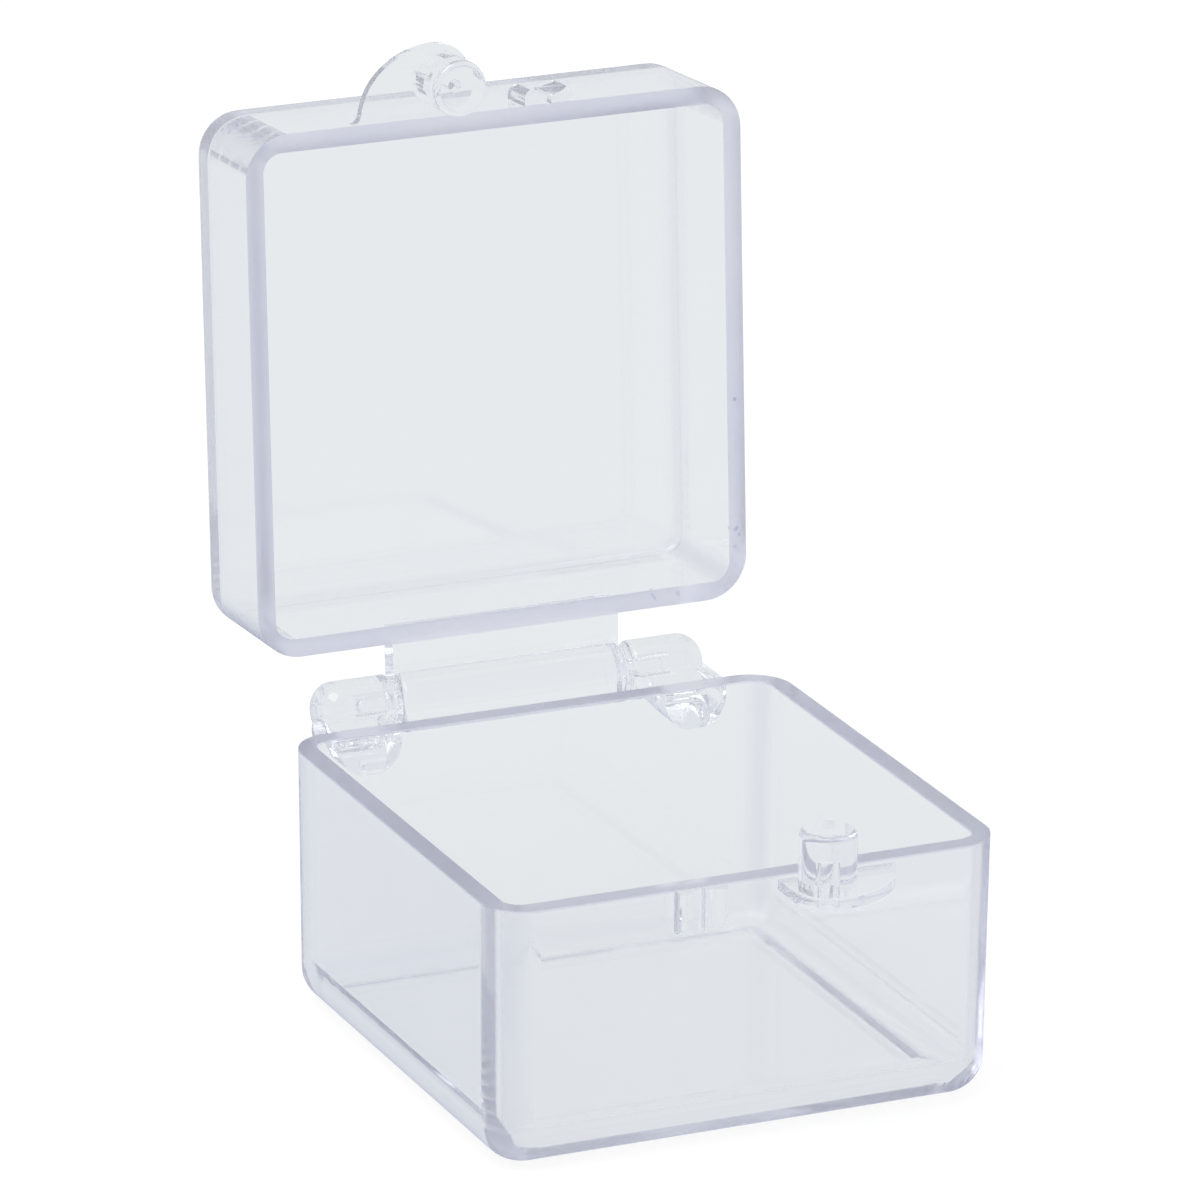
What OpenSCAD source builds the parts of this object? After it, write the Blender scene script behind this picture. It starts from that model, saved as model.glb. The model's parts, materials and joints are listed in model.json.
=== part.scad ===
// Small hinged box for a dental crown or bridge, moulded in clear polystyrene as two pieces.
// Base: an open tray with two hinge knuckles on arms behind it and half of the latch in front.
// Lid: a shallower tray with a leaf, a barrel and two pin stubs behind it and the other latch half.
// Each latch half is a thumb tab with a round post, which closes against a pair of ribs on the other piece.
// The origin is the centre of the base's underside, +Y points from the latch to the hinge, +Z is up.
// The lid is drawn closed, then swung open about the hinge axis by open_angle.

/* [Box] */
// Outside width, left to right
box_w = 32; // [28:0.5:60]
// Outside depth, front to back
box_d = 32; // [20:0.5:60]
// Height of the base, underside to rim
base_h = 16; // [10:0.5:40]
// Height of the lid, rim to top
lid_h = 8.5; // [6:0.5:20]
// Radius of the upright corners at the rim
corner_r = 2.7; // [2.4:0.1:6]
// How far each side wall of the base leans in from rim to floor, which lets it out of its mould
base_lean = 0.17; // [0.05:0.01:0.3]
// How far each side wall of the lid leans in from rim to top
lid_lean = 0.1; // [0.05:0.01:0.3]

/* [Walls] */
// Side wall of the base
base_wall = 1.2; // [0.8:0.05:1.6]
// Floor of the base
floor_t = 1; // [0.8:0.05:2]
// Radius of the base's lower outside edge
base_edge_r = 2.2; // [0.5:0.1:2.2]
// Side wall of the lid
lid_wall = 1.1; // [0.8:0.05:1.6]
// Top plate of the lid
top_t = 1.1; // [0.8:0.05:2]
// Radius of the lid's upper outside edge
lid_edge_r = 0.8; // [0.3:0.1:2]
// Radius of the base's inside edge at the floor
base_hollow_r = 2.2; // [0.2:0.1:2.4]
// Radius of the lid's inside edge at the top plate
lid_hollow_r = 0.6; // [0.2:0.1:2.4]
// Radius of the upright inside corners at the rim, where the outside corners are not much rounder
hollow_corner_r = 1.2; // [0.8:0.1:3]

/* [Hinge] */
// Distance of the hinge axis behind the rear wall
hinge_out = 3.6; // [3:0.1:6]
// Radius of the knuckles and the barrel
knuckle_r = 1.75; // [1.4:0.05:2.2]
// Distance from the box's middle to the inner face of a knuckle
knuckle_in = 7.75; // [5:0.05:8]
// Length of a knuckle
knuckle_len = 4.9; // [4.2:0.1:5.5]
// Radius of a knuckle's outer end
knuckle_end_r = 1.4; // [0.3:0.1:1.6]
// Width of the arm that carries a knuckle
arm_w = 4; // [3:0.1:4.2]
// Depth of the arm's foot below the rim
arm_drop = 2.95; // [2.2:0.05:4]
// Radius of a pin stub
pin_r = 0.42; // [0.4:0.01:0.8]
// Length of a pin stub inside its knuckle
pin_len = 2.3; // [1.5:0.1:3]
// Running clearance around a pin stub
pin_gap = 0.08; // [0.03:0.01:0.1]
// Gap between a knuckle and the end of the barrel
end_gap = 0.35; // [0.1:0.05:0.6]
// Thickness of the lid's hinge leaf
leaf_t = 1.3; // [0.8:0.05:1.7]

/* [Latch] */
// Distance of a latch post from the box's middle
post_x = 3.5; // [3:0.1:6]
// Distance of a post's axis in front of the wall
post_out = 2.3; // [2.2:0.1:4]
// Radius of a latch post
post_r = 1.7; // [1.2:0.05:2]
// Height of a post beyond the rim
post_h = 3.3; // [2:0.1:4]
// Radius of the core hole in the back of a post
core_r = 0.42; // [0.3:0.02:0.8]
// Depth of the core hole beyond the tab
core_depth = 1.8; // [0.5:0.1:1.8]
// Thickness of a thumb tab
tab_t = 0.6; // [0.6:0.05:1.5]
// How far a thumb tab sits below the rim
tab_sink = 0.3; // [0.1:0.05:0.5]
// Material of the tab around the post
tab_margin = 0.35; // [0.3:0.05:1]
// Length of the thumb wing from the post's middle
wing_len = 5; // [3:0.1:8]
// Width of a pair of ribs
rib_pair_w = 3.1; // [2.4:0.1:4]
// Slot between the two ribs
rib_slot = 0.3; // [0.2:0.05:0.6]
// Height of a rib off the wall
rib_out = 1; // [0.8:0.05:1.2]
// Length of a rib from the rim
rib_len = 2.6; // [1.6:0.1:4]

/* [Pose] */
// Opening angle of the lid as it stands, from closed
open_angle = 93.5; // [0:0.5:180]

/* [Hidden] */
$fn = 64;
// Air between the closed rims, and between a post and the ribs that it closes on
rim_gap = 0.05;
post_gap = 0.06;
// Cutting shapes run past what they cut, and joined shapes run into each other, by this much
over = 0.4;
// Radii of small edges: barrel ends, inner knuckle ends, pin tips, post ends, the hollow at the foot of a thumb wing,
// and the upright edges of a rib
barrel_end_r = 0.4;
knuckle_start_r = 0.4;
pin_tip_r = 0.3;
post_end_r = 0.4;
wing_foot_r = 0.5;
rib_edge_r = 0.5;
// Straight steps in each quarter of the thumb tab's outline
tab_steps = 16;
hinge_y = box_d / 2 + hinge_out;
hinge_z = base_h;
lid_z = base_h + rim_gap;
barrel_half = knuckle_in - end_gap;
nose_r = post_r + tab_margin;
clear_plastic = [0.84, 0.86, 0.93, 0.5];

// Right half of the upright section of a tray that stands on its floor. It starts at x = inner, its side leans
// out from the end of the floor's edge radius to the half width at the rim, and it can run on past the rim
module half_section(inner, side, height, lean, edge, past_rim) {
    foot = side - lean;
    difference() {
        polygon([
            [inner, 0],
            [foot, 0],
            [foot, edge],
            [side, height],
            [side, height + past_rim],
            [inner, height + past_rim]
        ]);
        difference() {
            translate([foot - edge, -over])
                square([edge + over, edge + over]);
            translate([foot - edge, edge])
                circle(edge);
        }
    }
}

// Solid tray, built from four equal quarters: half a slab behind each side, and a turned corner beside it
module tray_block(width, depth, height, lean, corner, edge_wanted, past_rim) {
    edge = min(edge_wanted, corner - lean - 0.2);
    for (quarter = [0:3]) {
        reach = quarter % 2 == 0 ? width / 2 : depth / 2;
        half_length = quarter % 2 == 0 ? depth / 2 : width / 2;
        rotate(90 * quarter) {
            rotate([90, 0, 0])
                linear_extrude(2 * (half_length - corner), center = true)
                    half_section(-over, reach, height, lean, edge, past_rim);
            translate([reach - corner, half_length - corner, 0])
                rotate_extrude(angle = 90)
                    half_section(0, corner, height, lean, edge, past_rim);
        }
    }
}

// Four bars that fill the foot of each side of a hollow up to a round fillet. The fillet bites a little into side
// and floor, so that the surfaces cross where they would otherwise only touch
module foot_fillets(width, depth, height, lean, radius) {
    bite = 0.003 * radius;
    for (quarter = [0:3]) {
        foot = (quarter % 2 == 0 ? width : depth) / 2 - lean;
        length = quarter % 2 == 0 ? depth : width;
        middle = [foot + lean * radius / height + bite - radius, radius - bite];
        rotate(90 * quarter)
            rotate([90, 0, 0])
                linear_extrude(length, center = true)
                    difference() {
                        translate([middle.x, -over])
                            square([radius + over, middle.y + over]);
                        translate(middle)
                            circle(radius);
                    }
    }
}

// Hollow tray with its floor at the bottom and its rim at the given height. An inside edge that is too round
// for the hollow's upright corners to turn with it is made of four straight fillets
module tray(height, lean, wall, floor_thickness, edge, hollow_edge) {
    hollow_w = box_w - 2 * wall;
    hollow_d = box_d - 2 * wall;
    hollow_h = height - floor_thickness;
    hollow_corner = max(hollow_corner_r, corner_r - wall - 0.4, lean + 0.5);
    turns = hollow_edge <= hollow_corner - lean - 0.2;
    difference() {
        tray_block(box_w, box_d, height, lean, corner_r, edge, 0);
        translate([0, 0, floor_thickness])
            difference() {
                tray_block(hollow_w, hollow_d, hollow_h, lean, hollow_corner, turns ? hollow_edge : 0.2, over);
                if (!turns)
                    foot_fillets(hollow_w, hollow_d, hollow_h, lean, hollow_edge);
            }
    }
}

// What a round corner takes away from a square corner at the origin, whose sides face +X and +Y
module corner_cut(r) {
    translate([-r, -r])
        difference() {
            square(r + over);
            circle(r);
        }
}

// Turned bar along +X from the origin, with the edge of its far end rounded, and of its near end where asked
module bar_x(r, length, end_r, start_r = 0) {
    rotate([0, 90, 0])
        rotate_extrude()
            difference() {
                square([r, length]);
                translate([r, length])
                    corner_cut(end_r);
                if (start_r > 0)
                    translate([r, 0])
                        rotate(-90)
                            corner_cut(start_r);
            }
}

// Right-hand arm and knuckle. From the side the arm's underside runs from its foot on the wall
// up to touch the knuckle, and from behind the arm is as wide as it is deep, with a round foot
module hinge_knuckle() {
    foot = [box_d / 2 - over, hinge_z - arm_drop];
    centre = [hinge_y, hinge_z];
    span = norm(centre - foot);
    aim = atan2(centre.y - foot.y, centre.x - foot.x) - asin(knuckle_r / span);
    touch = foot + sqrt(span * span - knuckle_r * knuckle_r) * [cos(aim), sin(aim)];
    arm_x = knuckle_in + knuckle_len - arm_w / 2;
    difference() {
        union() {
            translate([knuckle_in, hinge_y, hinge_z])
                bar_x(knuckle_r, knuckle_len, min(knuckle_end_r, knuckle_r - 0.2), knuckle_start_r);
            intersection() {
                translate([arm_x, 0, 0])
                    rotate([90, 0, 90])
                        linear_extrude(arm_w, center = true)
                            polygon([foot, touch, centre, [foot.x, hinge_z]]);
                translate([arm_x, hinge_y + knuckle_r, 0])
                    rotate([90, 0, 0])
                        linear_extrude(hinge_out + knuckle_r + over) {
                            translate([0, foot.y + arm_w / 2])
                                circle(arm_w / 2);
                            translate([-arm_w / 2, foot.y + arm_w / 2])
                                square([arm_w, arm_drop]);
                        }
            }
        }
        translate([knuckle_in - over, hinge_y, hinge_z])
            rotate([0, 90, 0])
                cylinder(h = over + pin_len + pin_gap + 0.2, r = pin_r + pin_gap);
    }
}

// Leaf, barrel and pin stubs of the closed lid
module hinge_barrel() {
    translate([-barrel_half, box_d / 2 - over, lid_z])
        cube([2 * barrel_half, hinge_out + over, leaf_t]);
    for (turn = [0, 1])
        mirror([turn, 0, 0])
            translate([0, hinge_y, hinge_z]) {
                bar_x(knuckle_r, barrel_half, barrel_end_r);
                bar_x(pin_r, knuckle_in + pin_len, pin_tip_r);
            }
}

// Outline of a thumb tab, with the wall along y = 0 and the post's axis at x = 0:
// a quarter ellipse from the wing's end, and an arc around the post to a straight side
function tab_outline() = concat(
    [for (i = [0:tab_steps]) let (a = 90 * i / tab_steps) [wing_len * cos(a), (post_out + nose_r) * sin(a)]],
    [for (i = [1:tab_steps]) let (a = 90 + 90 * i / tab_steps) [nose_r * cos(a), post_out + nose_r * sin(a)]],
    [[-nose_r, -over], [wing_len, -over]]
);

// Thumb tab with its post, on a wall along y = 0 with its rim at z = 0
module latch_tab() {
    difference() {
        union() {
            translate([0, 0, -tab_sink - tab_t])
                linear_extrude(tab_t) {
                    polygon(tab_outline());
                    translate([wing_len - over, -over])
                        difference() {
                            square([wing_foot_r + over, wing_foot_r + over]);
                            translate([wing_foot_r + over, wing_foot_r + over])
                                circle(wing_foot_r);
                        }
                }
            translate([0, post_out, -tab_sink - tab_t])
                rotate([0, -90, 0])
                    bar_x(post_r, tab_sink + tab_t + post_h, post_end_r);
        }
        translate([0, post_out, -tab_sink - tab_t - over])
            cylinder(h = over + tab_t + core_depth, r = core_r);
    }
}

// Pair of ribs below the rim, with round noses and feet, cut hollow to take the other piece's post
module rib_pair() {
    rib_w = (rib_pair_w - rib_slot) / 2;
    difference() {
        intersection() {
            translate([0, 0, -rib_len])
                linear_extrude(rib_len)
                    for (turn = [0, 1])
                        mirror([turn, 0])
                            translate([rib_slot / 2, 0])
                                difference() {
                                    translate([0, -over])
                                        square([rib_w, over + rib_out]);
                                    translate([rib_w, rib_out])
                                        corner_cut(rib_edge_r);
                                    translate([0, rib_out])
                                        rotate(90)
                                            corner_cut(rib_edge_r);
                                }
            rotate([90, 0, 90])
                linear_extrude(rib_pair_w + over, center = true)
                    difference() {
                        translate([-over, -rib_len])
                            square([over + rib_out, rib_len]);
                        translate([rib_out, -rib_len])
                            rotate(-90)
                                corner_cut(rib_out - 0.1);
                    }
        }
        translate([0, post_out, -rib_len - over])
            cylinder(h = rib_len + 2 * over, r = post_r + post_gap);
    }
}

// Both latch features on a front wall, for a piece whose rim is at z = 0 and whose body is below it
module latch_half() {
    translate([0, -box_d / 2, 0])
        mirror([0, 1, 0]) {
            translate([post_x, 0, 0])
                latch_tab();
            translate([-post_x, 0, 0])
                rib_pair();
        }
}

module base() {
    color(clear_plastic) {
        tray(base_h, base_lean, base_wall, floor_t, base_edge_r, base_hollow_r);
        for (turn = [0, 1])
            mirror([turn, 0, 0])
                hinge_knuckle();
        translate([0, 0, base_h])
            latch_half();
    }
}

module closed_lid() {
    translate([0, 0, lid_z + lid_h])
        rotate([180, 0, 0])
            tray(lid_h, lid_lean, lid_wall, top_t, lid_edge_r, lid_hollow_r);
    hinge_barrel();
    translate([0, 0, lid_z])
        rotate([0, 180, 0])
            latch_half();
}

module lid() {
    color(clear_plastic)
        translate([0, hinge_y, hinge_z])
            rotate([-open_angle, 0, 0])
                translate([0, -hinge_y, -hinge_z])
                    closed_lid();
}

base();
lid();
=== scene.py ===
# %% [markdown]
# A small hinged box, moulded in two halves from clear polystyrene, stands open on white paper. The two
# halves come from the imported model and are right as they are, so this lesson is about three other things:
# a clear plastic that looks lavender at its rims and corners, the small marks that moulding leaves in it,
# and a white studio that a clear object can be seen in.

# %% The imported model
import json
import math
import bmesh
import bpy
from mathutils import Matrix, Vector


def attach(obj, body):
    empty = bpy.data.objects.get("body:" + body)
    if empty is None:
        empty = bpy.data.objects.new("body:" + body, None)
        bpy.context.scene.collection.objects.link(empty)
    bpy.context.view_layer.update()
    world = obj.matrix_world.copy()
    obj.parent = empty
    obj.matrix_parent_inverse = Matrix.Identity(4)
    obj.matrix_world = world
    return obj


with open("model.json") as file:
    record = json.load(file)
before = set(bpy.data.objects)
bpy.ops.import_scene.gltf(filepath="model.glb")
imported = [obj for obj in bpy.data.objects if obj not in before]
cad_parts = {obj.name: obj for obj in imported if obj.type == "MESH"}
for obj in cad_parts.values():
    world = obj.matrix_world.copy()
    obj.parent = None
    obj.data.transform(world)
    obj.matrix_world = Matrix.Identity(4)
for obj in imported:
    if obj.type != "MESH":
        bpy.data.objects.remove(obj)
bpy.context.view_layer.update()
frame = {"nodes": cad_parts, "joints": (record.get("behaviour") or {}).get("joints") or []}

# %% [markdown]
# Colours are written as the hex values that a picture editor shows. Blender works in linear light, so one
# function turns each hex value into the number that a shader socket wants.

# %% Colours
def linear(hex_value):
    out = []
    for i in (0, 2, 4):
        c = int(hex_value[i:i + 2], 16) / 255
        out.append(c / 12.92 if c <= 0.04045 else ((c + 0.055) / 1.055) ** 2.4)
    return (*out, 1.0)

ROOM_BEHIND = linear("E8ECEF")
ROOM_BEHIND_IN_GLOSS = linear("E6E9ED")
ROOM_IN_FRONT = linear("B2B7D2")
# Painted shade: the paper near the box as it shows in reflections, darker than the far paper.
NEAR_FLOOR_PAINTED_SHADE_IN_GLOSS = linear("B8BDD4")
FAR_FLOOR_IN_GLOSS = linear("DCE0E6")
CLEAR = linear("FFFFFF")
EDGE_TINT = linear("EBEAF9")
PAPER = linear("FFFFFF")
print("room behind, linear:", [round(v, 3) for v in ROOM_BEHIND[:3]])

# %% [markdown]
# Every material and every Geometry Nodes tree here is built from the same step: make a node, set it, link
# it. One small function does that for all kinds of node, so the cells below read like a list of nodes. A
# link may come from a socket, or from a node, and then it comes from the node's first output.

# %% One helper for every node
def add(tree, kind, links=(), values=(), **settings):
    node = tree.nodes.new(kind)
    for name, value in settings.items():
        setattr(node, name, value)
    for socket, value in values:
        node.inputs[socket].default_value = value
    for socket, source in links:
        if isinstance(source, bpy.types.Node):
            source = source.outputs[0]
        tree.links.new(source, node.inputs[socket])
    return node

# %% [markdown]
# The camera is a long lens about half a metre away, so the box's edges stay almost parallel. Its place is
# given by two angles, a small roll and a distance, which were solved from the corners of the box in the
# photograph.

# %% Camera
AROUND = math.radians(-24.102)
ABOVE = math.radians(19.050)
ROLL = math.radians(0.449)
LOOK_AT = Vector((-0.002685, 0.0, 0.028080))
DISTANCE = 0.547532
FOCAL_PIXELS = 9427.585
PICTURE_PIXELS = 1200
SENSOR_WIDTH = 36

back = Vector((math.sin(AROUND) * math.cos(ABOVE), -math.cos(AROUND) * math.cos(ABOVE), math.sin(ABOVE)))
right = Vector((math.cos(AROUND), math.sin(AROUND), 0.0))
up = back.cross(right)
rolled_right = right * math.cos(ROLL) + up * math.sin(ROLL)
rolled_up = up * math.cos(ROLL) - right * math.sin(ROLL)

camera = bpy.data.objects.new("camera", bpy.data.cameras.new("camera"))
bpy.context.scene.collection.objects.link(camera)
place = Matrix((rolled_right, rolled_up, back)).transposed().to_4x4()
place.translation = LOOK_AT + back * DISTANCE
camera.matrix_world = place
camera.data.sensor_width = SENSOR_WIDTH
camera.data.lens = FOCAL_PIXELS / PICTURE_PIXELS * SENSOR_WIDTH
camera.data.clip_start = 0.01
camera.data.clip_end = 20
bpy.context.scene.camera = camera
print("lens in mm:", round(camera.data.lens, 1))

# %% [markdown]
# Each half of the box has one wall outline, a flat rim and a rounded bottom edge. The plastic below needs
# to know where those are. The lid's are given as when it is closed, because then both halves share one
# outline. The hinge's place and its angle to the closed box come with the model, and the other lengths,
# in metres, are the box's own.

# %% Where the rims and corners are
hinge = frame["joints"][0]
HINGE_AT = Vector(hinge["pos_m"])
TO_CLOSED = math.radians(hinge["range_deg"][0]) * hinge["axis"][0]
RIM_HEIGHT = hinge["pos_m"][2]
WALL_HALF = 0.016
CORNER = 0.0027
LID_HEIGHT = 0.0085
print("rim height in mm:", RIM_HEIGHT * 1000)
print("lid turns by", round(math.degrees(TO_CLOSED), 1), "degrees to close")

# %% [markdown]
# The plastic is taken to be clear general purpose polystyrene, injection moulded in a polished mould.
# That gives flat faces one can read through, and a bright, hard gloss. Light that enters a wall is led
# along inside it and comes out at the rims and corners, by a long way through the plastic, so these look
# pale lavender. In the photograph they also look a touch satin: the light there is spread evenly, not
# split into black and white lines. It could be made as a tinted glass, but then the flat faces would be
# as dark as the edges. Here the lavender comes from a faint absorption in the volume and from a mask of
# the rims and corners, built from Object coordinates.

# %% How far the satin zones reach
# Each pair says, in metres, where a zone is gone and where it is full. The first four pairs are measured
# from the middle of the box, RIM_DEPTH from the rim and FOOT_EDGE from the foot.
CORNER_ZONE = (WALL_HALF - CORNER, WALL_HALF - 0.3 * CORNER)
OUTER_SKIN = (WALL_HALF - 0.0014, WALL_HALF - 0.0004)
RIM_WIDTH = (WALL_HALF - 0.0018, WALL_HALF - 0.0013)
BOX_END = (WALL_HALF + 0.00008, WALL_HALF + 0.00003)
RIM_DEPTH = (0.00016, 0.00008)
FOOT_EDGE = (0.0016, 0.0003)
print("rim band in mm:", round((WALL_HALF - RIM_WIDTH[1]) * 1000, 2))

# %% A zone on the walls
def wall_zone(tree, across, along, ends, joined_by):
    fades = []
    for distance in (across, along):
        fades.append(add(tree, "ShaderNodeMapRange", [("Value", distance)],
                         [("From Min", ends[0]), ("From Max", ends[1])], interpolation_type="SMOOTHSTEP"))
    return add(tree, "ShaderNodeMath", [(0, fades[0]), (1, fades[1])], operation=joined_by)

# %% A mask of the rims and corners
def edge_masks(tree, closing_turn, foot, towards_rim):
    place = add(tree, "ShaderNodeTexCoord").outputs["Object"]
    if closing_turn:
        place = add(tree, "ShaderNodeVectorRotate", [("Vector", place)],
                    [("Center", HINGE_AT), ("Angle", closing_turn)], rotation_type="X_AXIS").outputs[0]
    split = add(tree, "ShaderNodeSeparateXYZ", [(0, place)])
    across = add(tree, "ShaderNodeMath", [(0, split.outputs["X"])], operation="ABSOLUTE")
    along = add(tree, "ShaderNodeMath", [(0, split.outputs["Y"])], operation="ABSOLUTE")

    upright = wall_zone(tree, across, along, CORNER_ZONE, "MULTIPLY")
    skin = wall_zone(tree, across, along, OUTER_SKIN, "MAXIMUM")
    above_foot, at_foot = (foot + towards_rim * reach for reach in FOOT_EDGE)
    near_foot = add(tree, "ShaderNodeMapRange", [("Value", split.outputs["Z"])],
                    [("From Min", above_foot), ("From Max", at_foot)], interpolation_type="SMOOTHSTEP")
    foot_edge = add(tree, "ShaderNodeMath", [(0, near_foot), (1, skin)], operation="MULTIPLY")
    corners = add(tree, "ShaderNodeMath", [(0, upright), (1, foot_edge)], operation="MAXIMUM")

    from_rim = add(tree, "ShaderNodeMath", [(0, split.outputs["Z"])], [(1, RIM_HEIGHT)], operation="SUBTRACT")
    from_rim = add(tree, "ShaderNodeMath", [(0, from_rim)], operation="ABSOLUTE")
    at_rim = add(tree, "ShaderNodeMapRange", [("Value", from_rim)],
                 [("From Min", RIM_DEPTH[0]), ("From Max", RIM_DEPTH[1])], interpolation_type="SMOOTHSTEP")
    in_wall = wall_zone(tree, across, along, RIM_WIDTH, "MAXIMUM")
    on_the_box = wall_zone(tree, across, along, BOX_END, "MULTIPLY")
    band = add(tree, "ShaderNodeMath", [(0, in_wall), (1, on_the_box)], operation="MULTIPLY")
    rim = add(tree, "ShaderNodeMath", [(0, at_rim), (1, band)], operation="MULTIPLY")
    return place, rim, corners

# %% [markdown]
# Detail goes on top, each kind at a size of its own. Moulded faces are never quite flat: the melt flows in
# and leaves a waviness about 6 mm long and a few thousandths of a millimetre high, which bends
# reflections a little. Handling leaves rubbed spots, here about 4 mm wide, which change only the gloss.
# The satin of the rims has a grain of 0.3 mm, and the lavender of a rim comes and goes over about 7 mm of
# its length.

# %% Sizes of the detail and strength of the finish
FLOW_LENGTH = 0.006
FLOW_HEIGHT = 0.000006
RUBBED_SPOT = 0.004
SATIN_GRAIN = 0.0003
GRAIN_HEIGHT = 0.000008
STREAK_LENGTH = 0.007
POLISHED = 0.03
RUBBED = 0.06
RIM_SATIN = 0.30
CORNER_SATIN = 0.20
CORNER_TINT = 0.35
STREAK_LOW = 0.75
STREAK_HIGH = 1.3
POLYSTYRENE_IOR = 1.59
ABSORBED = (0.50, 0.50, 0.70, 1.0)
ABSORBED_PER_METRE = 6.0
print("absorption per mm of red, green and blue:",
      [round((1 - v) * ABSORBED_PER_METRE / 1000, 4) for v in ABSORBED[:3]])

# %% Clear polystyrene
def clear_polystyrene(name, closing_turn, foot, towards_rim):
    material = bpy.data.materials.new(name)
    material.use_nodes = True
    tree = material.node_tree
    tree.nodes.clear()
    place, rim, corners = edge_masks(tree, closing_turn, foot, towards_rim)
    edges = add(tree, "ShaderNodeMath", [(0, rim), (1, corners)], operation="MAXIMUM")

    corner_tint = add(tree, "ShaderNodeMath", [(0, corners)], [(1, CORNER_TINT)], operation="MULTIPLY")
    strongest = add(tree, "ShaderNodeMath", [(0, rim), (1, corner_tint)], operation="MAXIMUM")
    streaks = add(tree, "ShaderNodeTexNoise", [("Vector", place)],
                  [("Scale", 1 / STREAK_LENGTH), ("Detail", 1.0)])
    depth = add(tree, "ShaderNodeMapRange", [("Value", streaks.outputs["Fac"])],
                [("From Min", 0.3), ("From Max", 0.7), ("To Min", STREAK_LOW), ("To Max", STREAK_HIGH)])
    tint_here = add(tree, "ShaderNodeMath", [(0, strongest), (1, depth)], operation="MULTIPLY")
    tint = add(tree, "ShaderNodeMix", [("Factor", tint_here)], [(6, CLEAR), (7, EDGE_TINT)],
               data_type="RGBA", clamp_factor=False)

    spots = add(tree, "ShaderNodeTexNoise", [("Vector", place)],
                [("Scale", 1 / RUBBED_SPOT), ("Detail", 3.0), ("Roughness", 0.6)])
    gloss = add(tree, "ShaderNodeMapRange", [("Value", spots.outputs["Fac"])],
                [("From Min", 0.35), ("From Max", 0.75), ("To Min", POLISHED), ("To Max", RUBBED)])
    rim_satin = add(tree, "ShaderNodeMath", [(0, rim)], [(1, RIM_SATIN)], operation="MULTIPLY")
    corner_satin = add(tree, "ShaderNodeMath", [(0, corners)], [(1, CORNER_SATIN)], operation="MULTIPLY")
    satin = add(tree, "ShaderNodeMath", [(0, rim_satin), (1, corner_satin)], operation="MAXIMUM")
    rough = add(tree, "ShaderNodeMath", [(0, gloss), (1, satin)], operation="ADD")

    flow = add(tree, "ShaderNodeTexNoise", [("Vector", place)],
               [("Scale", 1 / FLOW_LENGTH), ("Detail", 1.0), ("Roughness", 0.4)])
    waves = add(tree, "ShaderNodeBump", [("Height", flow.outputs["Fac"])],
                [("Strength", 1.0), ("Distance", FLOW_HEIGHT)])
    grain = add(tree, "ShaderNodeTexNoise", [("Vector", place)],
                [("Scale", 1 / SATIN_GRAIN), ("Detail", 2.0)])
    grain_height = add(tree, "ShaderNodeMath", [(0, grain.outputs["Fac"]), (1, edges)], operation="MULTIPLY")
    bumps = add(tree, "ShaderNodeBump", [("Height", grain_height), ("Normal", waves)],
                [("Strength", 1.0), ("Distance", GRAIN_HEIGHT)])

    plastic = add(tree, "ShaderNodeBsdfPrincipled",
                  [("Base Color", tint.outputs[2]), ("Roughness", rough), ("Normal", bumps)],
                  [("IOR", POLYSTYRENE_IOR), ("Transmission Weight", 1.0)])
    inside = add(tree, "ShaderNodeVolumeAbsorption",
                 values=[("Color", ABSORBED), ("Density", ABSORBED_PER_METRE)])
    add(tree, "ShaderNodeOutputMaterial", [("Surface", plastic), ("Volume", inside)])
    return material

# %% Both halves get the plastic
halves = {
    "base": clear_polystyrene("clear_polystyrene_base", 0.0, 0.0, 1),
    "lid": clear_polystyrene("clear_polystyrene_lid", TO_CLOSED, RIM_HEIGHT + LID_HEIGHT, -1),
}
for name, material in halves.items():
    half = frame["nodes"][name]
    half.data.materials.clear()
    half.data.materials.append(material)
    print(name, "has", len(half.data.polygons), "faces in", material.name)

# %% [markdown]
# Clear mouldings can hold small specks, each like a tiny lens. The photo shows a patch of them in a
# rounded corner of the lid, and single ones in the wall near the lid's rim. They could be painted in the
# plastic, but a lens bends what is behind it, and paint doesn't, so they are real beads inside the wall.
# Geometry Nodes scatter them: points around a centre, a small round body on each, all made real.

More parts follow.
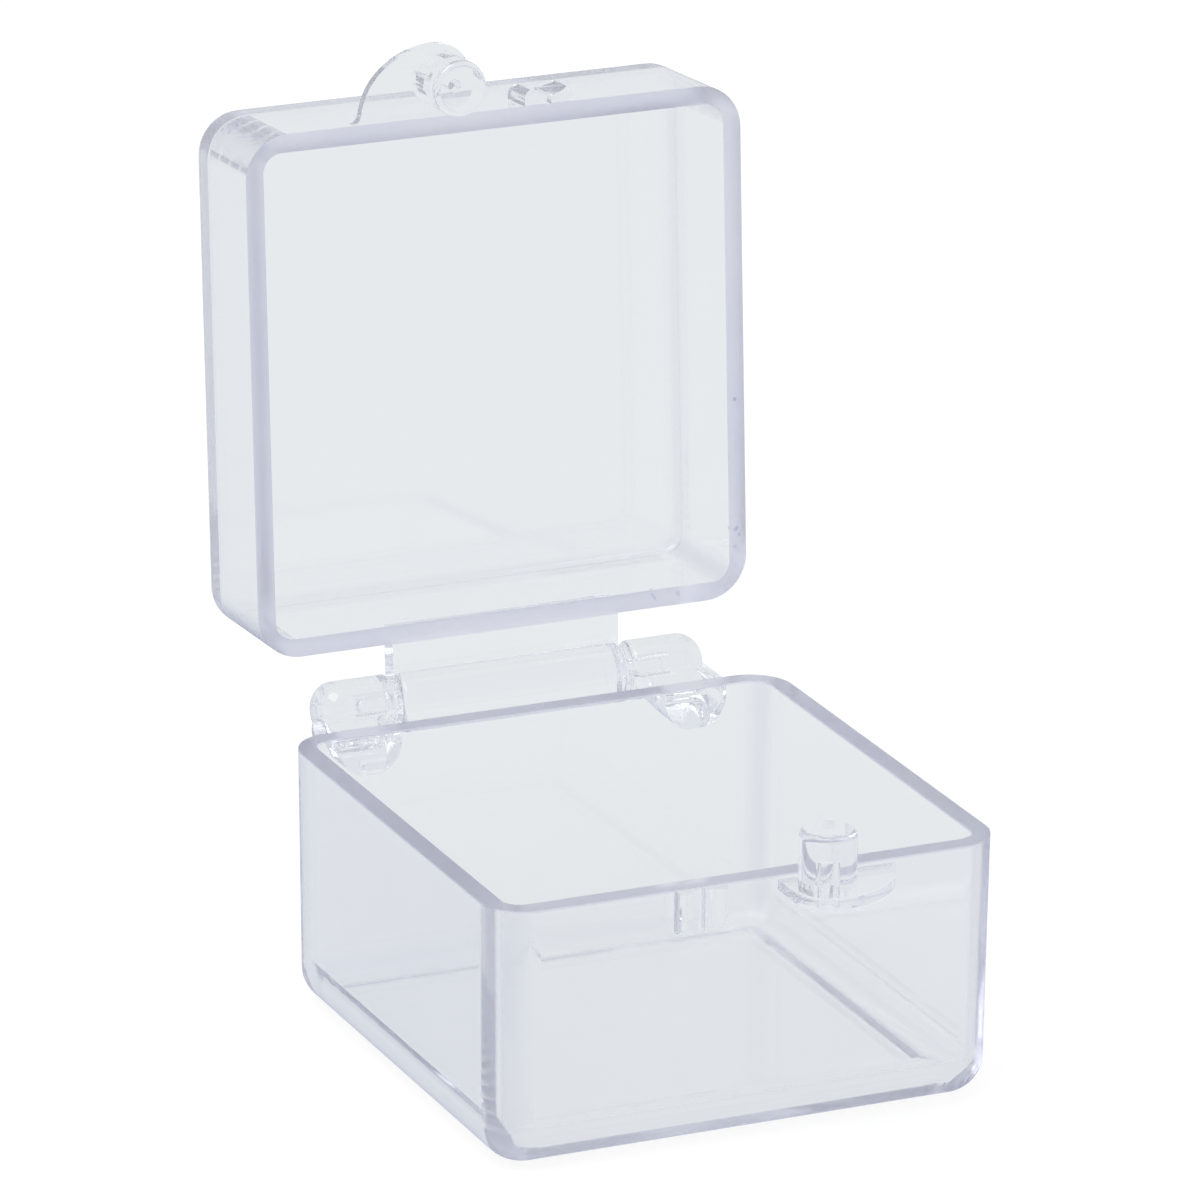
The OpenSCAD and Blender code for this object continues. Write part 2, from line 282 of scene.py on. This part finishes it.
# %% A tree that scatters specks
def speck_tree():
    tree = bpy.data.node_groups.new("scatter_specks", "GeometryNodeTree")
    face = tree.interface
    face.new_socket("Geometry", in_out="OUTPUT", socket_type="NodeSocketGeometry")
    for name, kind in (("Centre", "Vector"), ("Reach", "Vector"), ("Count", "Int"), ("Smallest", "Float"),
                       ("Largest", "Float"), ("Seed", "Int"), ("Material", "Material")):
        face.new_socket(name, in_out="INPUT", socket_type="NodeSocket" + kind)
    given = add(tree, "NodeGroupInput").outputs
    less = add(tree, "ShaderNodeVectorMath", [(0, given["Centre"]), (1, given["Reach"])],
               operation="SUBTRACT")
    more = add(tree, "ShaderNodeVectorMath", [(0, given["Centre"]), (1, given["Reach"])], operation="ADD")
    where = add(tree, "FunctionNodeRandomValue", [("Min", less), ("Max", more),
                                                  ("Seed", given["Seed"])], data_type="FLOAT_VECTOR")
    points = add(tree, "GeometryNodePoints", [("Count", given["Count"]), ("Position", where)])
    bead = add(tree, "GeometryNodeMeshIcoSphere", values=[("Radius", 1.0), ("Subdivisions", 2)])
    smooth = add(tree, "GeometryNodeSetShadeSmooth", [("Geometry", bead.outputs["Mesh"])])
    size = add(tree, "FunctionNodeRandomValue", [(2, given["Smallest"]), (3, given["Largest"]),
                                                 ("Seed", given["Seed"])], data_type="FLOAT")
    placed = add(tree, "GeometryNodeInstanceOnPoints", [("Points", points), ("Instance", smooth),
                                                        ("Scale", size.outputs[1])])
    real = add(tree, "GeometryNodeRealizeInstances", [("Geometry", placed)])
    dressed = add(tree, "GeometryNodeSetMaterial", [("Geometry", real), ("Material", given["Material"])])
    add(tree, "NodeGroupOutput", [("Geometry", dressed)])
    return tree

scatter_specks = speck_tree()
print("specks tree has", len(scatter_specks.nodes), "nodes")

# %% [markdown]
# A speck is made as a denser spot in the plastic. Its surface bends light less than the step from air to
# plastic does, and a grain of 0.05 mm breaks up its gloss.

# %% Denser polystyrene
SPECK_GRAIN = 0.00005
SPECK_IOR = 1.28
SPECK_TINT = linear("E6E6F6")
SPECK_GLOSS = (0.03, 0.15)
speck = bpy.data.materials.new("denser_polystyrene")
speck.use_nodes = True
tree = speck.node_tree
tree.nodes.clear()
place = add(tree, "ShaderNodeTexCoord").outputs["Object"]
grain = add(tree, "ShaderNodeTexNoise", [("Vector", place)],
            [("Scale", 1 / SPECK_GRAIN), ("Detail", 1.0)])
gloss = add(tree, "ShaderNodeMapRange", [("Value", grain.outputs["Fac"])],
            [("From Min", 0.3), ("From Max", 0.7), ("To Min", SPECK_GLOSS[0]), ("To Max", SPECK_GLOSS[1])])
body = add(tree, "ShaderNodeBsdfPrincipled", [("Roughness", gloss)],
           [("Base Color", SPECK_TINT), ("IOR", SPECK_IOR), ("Transmission Weight", 1.0)])
add(tree, "ShaderNodeOutputMaterial", [("Surface", body)])
print(speck.name, "has", len(tree.nodes), "nodes")

# %% [markdown]
# Each patch of specks is given by its centre in the wall, in metres on the closed lid, and by how far it
# reaches. All of them become one mesh, which is then turned to where the open lid is and rides on it.

# %% Specks in the lid's walls
PATCHES = [
    ("corner patch", (-0.01404, -0.01527, 0.0218), (0.0010, 0.00022, 0.0009), 16, 0.00006, 0.00014, 4),
    ("right rim, high", (0.01542, 0.0038, 0.01640), (0.0001, 0.0002, 0.0001), 1, 0.00012, 0.00014, 2),
    ("right rim, low", (0.01542, 0.0117, 0.01645), (0.00018, 0.0012, 0.0002), 4, 0.00008, 0.00015, 7),
    ("hinge side rim", (0.0106, 0.01542, 0.01645), (0.0009, 0.00018, 0.0002), 3, 0.00008, 0.00014, 5),
]
made = bmesh.new()
for title, centre, reach, count, smallest, largest, seed in PATCHES:
    holder = bpy.data.objects.new(title, bpy.data.meshes.new(title))
    bpy.context.scene.collection.objects.link(holder)
    scatter = holder.modifiers.new("specks", "NODES")
    scatter.node_group = scatter_specks
    wanted = {"Centre": centre, "Reach": reach, "Count": count, "Smallest": smallest,
              "Largest": largest, "Seed": seed, "Material": speck}
    for item in scatter_specks.interface.items_tree:
        if item.in_out == "INPUT":
            scatter[item.identifier] = wanted[item.name]
    ready = bpy.data.meshes.new_from_object(holder.evaluated_get(bpy.context.evaluated_depsgraph_get()))
    made.from_mesh(ready)
    bpy.data.objects.remove(holder)
    print(title, len(ready.polygons), "faces")
opening_turn = Matrix.Rotation(-TO_CLOSED, 4, "X")
made.transform(Matrix.Translation(HINGE_AT) @ opening_turn @ Matrix.Translation(-HINGE_AT))
specks_mesh = bpy.data.meshes.new("lid_specks")
made.to_mesh(specks_mesh)
made.free()
specks_mesh.materials.append(speck)
specks_mesh.polygons.foreach_set("use_smooth", [True] * len(specks_mesh.polygons))
lid_specks = bpy.data.objects.new("lid_specks", specks_mesh)
bpy.context.scene.collection.objects.link(lid_specks)
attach(lid_specks, "lid")

# %% [markdown]
# The floor is a sheet of white paper. The camera sees it almost at full white with a faint shadow. Rays
# that reach it through the plastic or by a reflection see the paper a little greyer, as the clear faces
# show it in the photo. In reflections the paper close to the box carries a painted shade, darker than the
# paper further off, which stands in for the box's own soft shadow on the paper around it: the low front
# wall mirrors the near paper, and the tall lid mirrors the far paper. Both tones were fitted to the
# photograph by measure.

# %% White paper floor
FLOOR_SIZE = 3.0
FLOOR_GAP = 0.00015
# Painted shade in reflections: full within the first distance from the box, gone past the second.
PAINTED_SHADE_FULL_TO = 0.060
PAINTED_SHADE_GONE_AT = 0.100
PLAIN_GREY = (0.8, 0.8, 0.8, 1.0)
MIRRORED_LIGHT = (0.10, 0.90)
LIGHT_SEEN_THROUGH = (0.12, 0.88)
LIGHT_SEEN_DIRECTLY = (0.20, 0.86)
bpy.ops.mesh.primitive_plane_add(size=FLOOR_SIZE, location=(0, 0, -FLOOR_GAP))
floor = bpy.context.object
floor.name = "paper_floor"
paper = bpy.data.materials.new("matt_white_paper")
paper.use_nodes = True
tree = paper.node_tree
tree.nodes.clear()
ray = add(tree, "ShaderNodeLightPath")

def lit_paper(colour, light_shares):
    own_share, glow = light_shares
    matt = add(tree, "ShaderNodeBsdfDiffuse", values=[("Color", [v * own_share for v in colour[:3]] + [1.0])])
    light = add(tree, "ShaderNodeEmission", values=[("Color", colour), ("Strength", glow)])
    return add(tree, "ShaderNodeAddShader", [(0, matt), (1, light)])

# Painted shade: seen in reflections, the paper is darker near the box and fades out 6 to 10 cm from it.
here = add(tree, "ShaderNodeTexCoord").outputs["Object"]
from_box = add(tree, "ShaderNodeVectorMath", [(0, here)], operation="LENGTH").outputs["Value"]
far = add(tree, "ShaderNodeMapRange", [("Value", from_box)],
          [("From Min", PAINTED_SHADE_FULL_TO), ("From Max", PAINTED_SHADE_GONE_AT)], interpolation_type="SMOOTHSTEP")
mirrored_with_painted_shade = add(tree, "ShaderNodeMixShader", [(0, far), (1, lit_paper(NEAR_FLOOR_PAINTED_SHADE_IN_GLOSS, MIRRORED_LIGHT)),
                                             (2, lit_paper(FAR_FLOOR_IN_GLOSS, MIRRORED_LIGHT))])
matt_only = add(tree, "ShaderNodeBsdfDiffuse", values=[("Color", PLAIN_GREY)])
by_glossy = add(tree, "ShaderNodeMixShader",
                [(0, ray.outputs["Is Glossy Ray"]), (1, matt_only), (2, mirrored_with_painted_shade)])
by_clear = add(tree, "ShaderNodeMixShader", [(0, ray.outputs["Is Transmission Ray"]), (1, by_glossy),
                                             (2, lit_paper(ROOM_BEHIND, LIGHT_SEEN_THROUGH))])
by_camera = add(tree, "ShaderNodeMixShader", [(0, ray.outputs["Is Camera Ray"]), (1, by_clear),
                                              (2, lit_paper(PAPER, LIGHT_SEEN_DIRECTLY))])
add(tree, "ShaderNodeOutputMaterial", [("Surface", by_camera)])
floor.data.materials.append(paper)
print("floor is", floor.dimensions.x, "m wide")

# %% [markdown]
# A clear object shows only its surroundings, so the room is half of the material. Behind and above the
# box the room is a pale, slightly cool grey. In front of it, where the camera stands, it is darker: that
# is what the faces reflect and why a clear face can be told from no face at all. The camera itself sees
# plain white.

# %% Room
FRONT_ENDS = -0.85
BACK_STARTS = 0.05
PLAIN_STRENGTH = 0.9
room = bpy.data.worlds.new("white_studio")
bpy.context.scene.world = room
room.use_nodes = True
tree = room.node_tree
tree.nodes.clear()
ray = add(tree, "ShaderNodeLightPath")
towards = add(tree, "ShaderNodeTexCoord").outputs["Generated"]
split = add(tree, "ShaderNodeSeparateXYZ", [(0, towards)])
to_the_back = add(tree, "ShaderNodeMapRange", [("Value", split.outputs["Y"])],
                  [("From Min", FRONT_ENDS), ("From Max", BACK_STARTS)], interpolation_type="SMOOTHSTEP")
seen_in_gloss = add(tree, "ShaderNodeMix", [("Factor", to_the_back)],
                    [(6, ROOM_IN_FRONT), (7, ROOM_BEHIND_IN_GLOSS)], data_type="RGBA")
plain = add(tree, "ShaderNodeBackground", values=[("Color", PLAIN_GREY), ("Strength", PLAIN_STRENGTH)])
gloss = add(tree, "ShaderNodeBackground", [("Color", seen_in_gloss.outputs[2])])
clear = add(tree, "ShaderNodeBackground", values=[("Color", ROOM_BEHIND)])
white = add(tree, "ShaderNodeBackground", values=[("Color", PAPER)])
by_glossy = add(tree, "ShaderNodeMixShader", [(0, ray.outputs["Is Glossy Ray"]), (1, plain), (2, gloss)])
by_clear = add(tree, "ShaderNodeMixShader",
               [(0, ray.outputs["Is Transmission Ray"]), (1, by_glossy), (2, clear)])
by_camera = add(tree, "ShaderNodeMixShader", [(0, ray.outputs["Is Camera Ray"]), (1, by_clear), (2, white)])
add(tree, "ShaderNodeOutputWorld", [(0, by_camera)])
print("room has", len(tree.nodes), "nodes")

# %% [markdown]
# One soft box hangs above and to the left. It gives the small highlights on the rounded knuckles and on
# the rims.

# %% Soft box
SOFT_BOX_SIDE = 0.5
SOFT_BOX_WATTS = 1.7
MIDDLE_OF_THE_BOX = Vector((0, 0, 0.02))
light = bpy.data.lights.new("soft_box", "AREA")
light.shape = "RECTANGLE"
light.size = SOFT_BOX_SIDE
light.size_y = SOFT_BOX_SIDE
light.energy = SOFT_BOX_WATTS
soft_box = bpy.data.objects.new("soft_box", light)
bpy.context.scene.collection.objects.link(soft_box)
soft_box.location = (-0.25, -0.1, 0.7)
soft_box.rotation_euler = (soft_box.location - MIDDLE_OF_THE_BOX).to_track_quat("Z", "Y").to_euler()
print("soft box", light.energy, "W")

# %% [markdown]
# Light that is led along inside a wall bounces dozens of times before it gets out. With the usual dozen
# bounces those paths end black, so the limits are raised for this object.

# %% Bounces and size
BOUNCES = 160
paths = bpy.context.scene.cycles
paths.max_bounces = BOUNCES
paths.transmission_bounces = BOUNCES
paths.glossy_bounces = BOUNCES
paths.transparent_max_bounces = 16
bpy.context.scene.view_settings.view_transform = "Standard"
